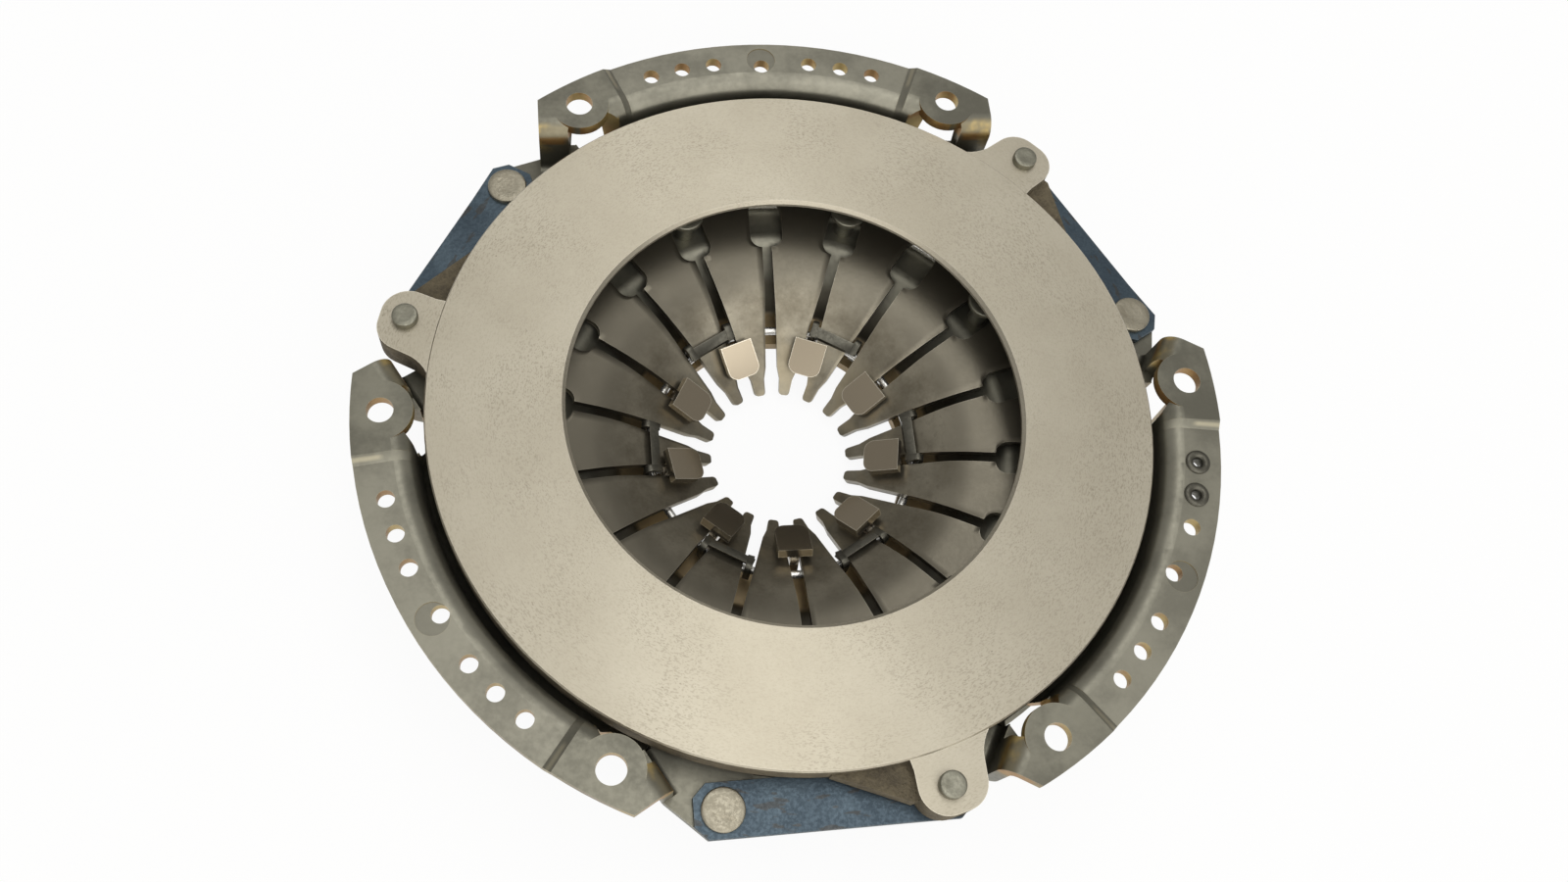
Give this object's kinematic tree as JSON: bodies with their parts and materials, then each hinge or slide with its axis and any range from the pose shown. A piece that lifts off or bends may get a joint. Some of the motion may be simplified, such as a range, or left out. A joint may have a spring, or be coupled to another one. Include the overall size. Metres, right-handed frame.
{
  "type": "clutch pressure plate",
  "caption": "Diaphragm clutch cover: pressed steel housing with bolt wings, a cast friction plate hung on leaf straps, a slotted cone spring between pivot rings, and release stops.",
  "frame": {"origin": "centre of the bolt circle, in the plane of the pads that bolt to the flywheel", "axes": "+Z along the shaft axis towards the flywheel; +Y through the middle of one wing of the cover"},
  "size_m": [0.2888, 0.2816, 0.0583],
  "materials": {
    "cover_steel": "satin",
    "ground_iron": "ground",
    "spring_steel": "satin",
    "blued_steel": "blued",
    "rivet_steel": "satin",
    "wire_steel": "bright",
    "dark_steel": "dark"
  },
  "bodies": {
    "cover": {"cover": "cover_steel", "cover_pivot_ring": "wire_steel", "plate_pivot_ring": "wire_steel", "diaphragm_spring": "spring_steel", "fulcrum_rivets": "rivet_steel", "balance_rivets": "dark_steel", "strap_1_leaf_1": "blued_steel", "strap_1_leaf_2": "blued_steel", "strap_1_leaf_3": "blued_steel", "strap_2_leaf_1": "blued_steel", "strap_2_leaf_2": "blued_steel", "strap_2_leaf_3": "blued_steel", "strap_3_leaf_1": "blued_steel", "strap_3_leaf_2": "blued_steel", "strap_3_leaf_3": "blued_steel", "strap_cover_rivet_1": "rivet_steel", "strap_cover_rivet_2": "rivet_steel", "strap_cover_rivet_3": "rivet_steel"},
    "plate": {"pressure_plate": "ground_iron", "strap_lug_rivet_1": "rivet_steel", "strap_lug_rivet_2": "rivet_steel", "strap_lug_rivet_3": "rivet_steel"},
    "finger_ring": {"finger_ring": "wire_steel", "finger_clip_1": "dark_steel", "finger_clip_2": "dark_steel", "finger_clip_3": "dark_steel", "finger_clip_4": "dark_steel", "finger_clip_5": "dark_steel", "finger_clip_6": "dark_steel"}
  },
  "joints": [
    {"name": "plate_slide", "type": "slide", "parent": "cover", "child": "plate", "axis": [0, 0, 1], "range_m": [-0.0008, 0], "stiffness_N_per_m": 60000, "springref_m": 0.002, "deforming": ["strap_1_leaf_1", "strap_1_leaf_2", "strap_1_leaf_3", "strap_2_leaf_1", "strap_2_leaf_2", "strap_2_leaf_3", "strap_3_leaf_1", "strap_3_leaf_2", "strap_3_leaf_3", "diaphragm_spring"]},
    {"name": "finger_ring_lift", "type": "slide", "parent": "cover", "child": "finger_ring", "axis": [0, 0, 1], "range_m": [0, 0.0018]}
  ],
  "couplings": [
    {"joint": "finger_ring_lift", "follows": "plate_slide", "ratio": -2.14}
  ]
}
